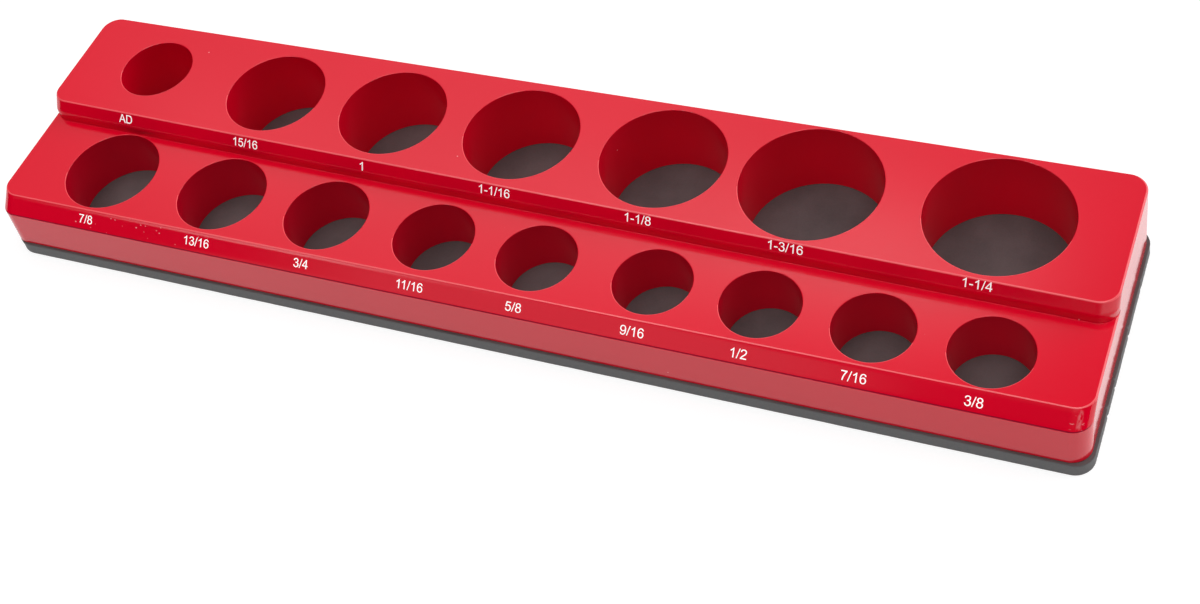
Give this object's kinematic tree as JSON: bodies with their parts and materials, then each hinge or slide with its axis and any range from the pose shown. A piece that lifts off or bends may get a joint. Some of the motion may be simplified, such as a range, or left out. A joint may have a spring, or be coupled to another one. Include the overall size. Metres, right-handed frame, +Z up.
{
  "type": "socket organizer tray",
  "caption": "Long two-tier tray with a back row and a front row of round sized pockets for shallow drive sockets, each marked on a sloping face, on a flat magnet pad.",
  "frame": {"origin": "centre of the magnet pad's underside", "axes": "+X along the length, towards the end with the largest back pocket; +Y from the low front tier to the raised back tier; +Z up out of the pockets"},
  "size_m": [0.37, 0.0878, 0.0301],
  "materials": {
    "tray": "glossy",
    "magnet_pad": "matte",
    "glue_film": "satin",
    "mark_ink": "satin"
  },
  "bodies": {
    "root": {"tray": "tray", "magnet_pad": "magnet_pad", "glue_film": "glue_film", "mark_adapter": "mark_ink", "mark_15_16": "mark_ink", "mark_1": "mark_ink", "mark_1_1_16": "mark_ink", "mark_1_1_8": "mark_ink", "mark_1_3_16": "mark_ink", "mark_1_1_4": "mark_ink", "mark_7_8": "mark_ink", "mark_13_16": "mark_ink", "mark_3_4": "mark_ink", "mark_11_16": "mark_ink", "mark_5_8": "mark_ink", "mark_9_16": "mark_ink", "mark_1_2": "mark_ink", "mark_7_16": "mark_ink", "mark_3_8": "mark_ink"}
  },
  "joints": []
}
